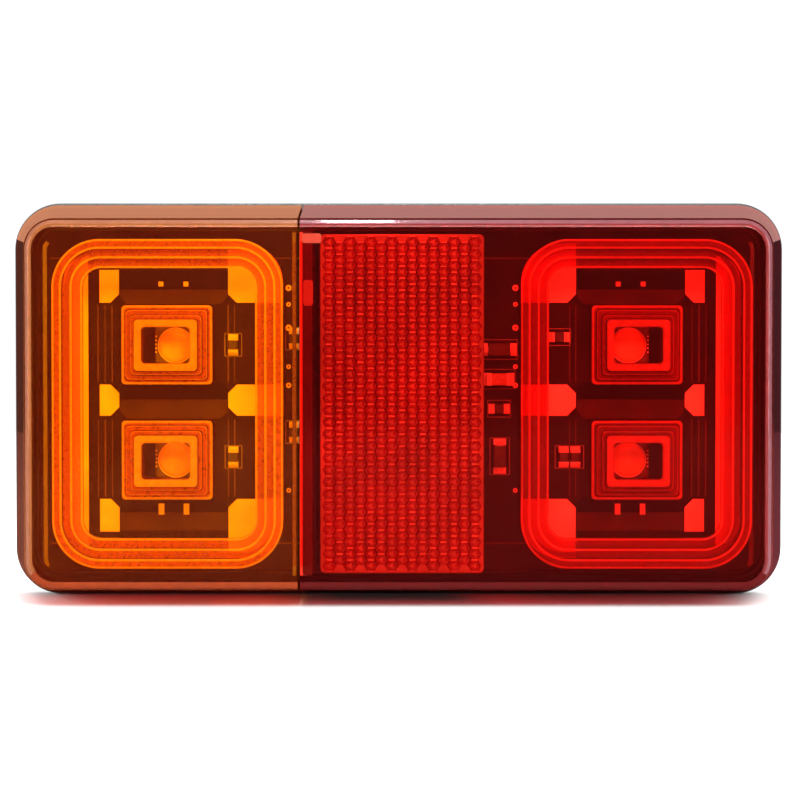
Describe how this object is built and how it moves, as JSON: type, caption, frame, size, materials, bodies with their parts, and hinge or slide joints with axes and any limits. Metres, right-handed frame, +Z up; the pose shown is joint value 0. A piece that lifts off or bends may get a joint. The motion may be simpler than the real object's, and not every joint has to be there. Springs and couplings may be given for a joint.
{
  "type": "trailer tail light",
  "caption": "Rectangular sealed LED combination tail lamp: amber turn section, red stop and tail section, reflex reflector between them, rear studs and cable gland.",
  "frame": {"origin": "centre of the flat back face that lies against the panel", "axes": "+X along the lamp's length, from the amber end to the red end; +Y out of the back face, into the panel; +Z up; the lens faces -Y"},
  "size_m": [0.1, 0.04, 0.051],
  "materials": {
    "black_plastic": "fine moulded grain",
    "amber_lens": "clear amber, polished",
    "red_lens": "clear red, polished",
    "reflector_red": "clear red with hexagonal prisms",
    "amber_optic": "clear amber, stepped",
    "red_optic": "clear red, stepped",
    "board": "dark solder mask over glass-fibre laminate",
    "led_package": "white package with a yellow phosphor cup",
    "resistor_body": "dark film between tinned ends",
    "capacitor_body": "fired, tinned ends",
    "moulded_body": "moulded epoxy",
    "plated_steel": "zinc plated",
    "seal_rubber": "smooth",
    "gland_rubber": "moulded"
  },
  "bodies": {
    "root": {"base_housing": "black_plastic", "board_screw_1": "plated_steel", "board_screw_2": "plated_steel", "cable_gland": "gland_rubber", "capacitor_1": "capacitor_body", "capacitor_2": "capacitor_body", "circuit_board": "board", "diode_stop": "moulded_body", "diode_tail": "moulded_body", "diode_turn": "moulded_body", "driver_chip_amber": "moulded_body", "driver_chip_red": "moulded_body", "led_amber_lower": "led_package", "led_amber_upper": "led_package", "led_red_lower": "led_package", "led_red_upper": "led_package", "lens_amber": "amber_lens", "lens_red": "red_lens", "lens_seal": "seal_rubber", "nut_left": "plated_steel", "nut_right": "plated_steel", "optic_block_amber_lower": "amber_optic", "optic_block_amber_upper": "amber_optic", "optic_block_red_lower": "red_optic", "optic_block_red_upper": "red_optic", "optic_ring_amber": "amber_optic", "optic_ring_red": "red_optic", "reflector_back_cover": "black_plastic", "reflex_reflector": "reflector_red", "resistor_1": "resistor_body", "resistor_2": "resistor_body", "resistor_3": "resistor_body", "resistor_4": "resistor_body", "resistor_5": "resistor_body", "resistor_6": "resistor_body", "resistor_7": "resistor_body", "resistor_8": "resistor_body", "stud_left": "plated_steel", "stud_right": "plated_steel", "washer_left": "plated_steel", "washer_right": "plated_steel"}
  },
  "joints": []
}
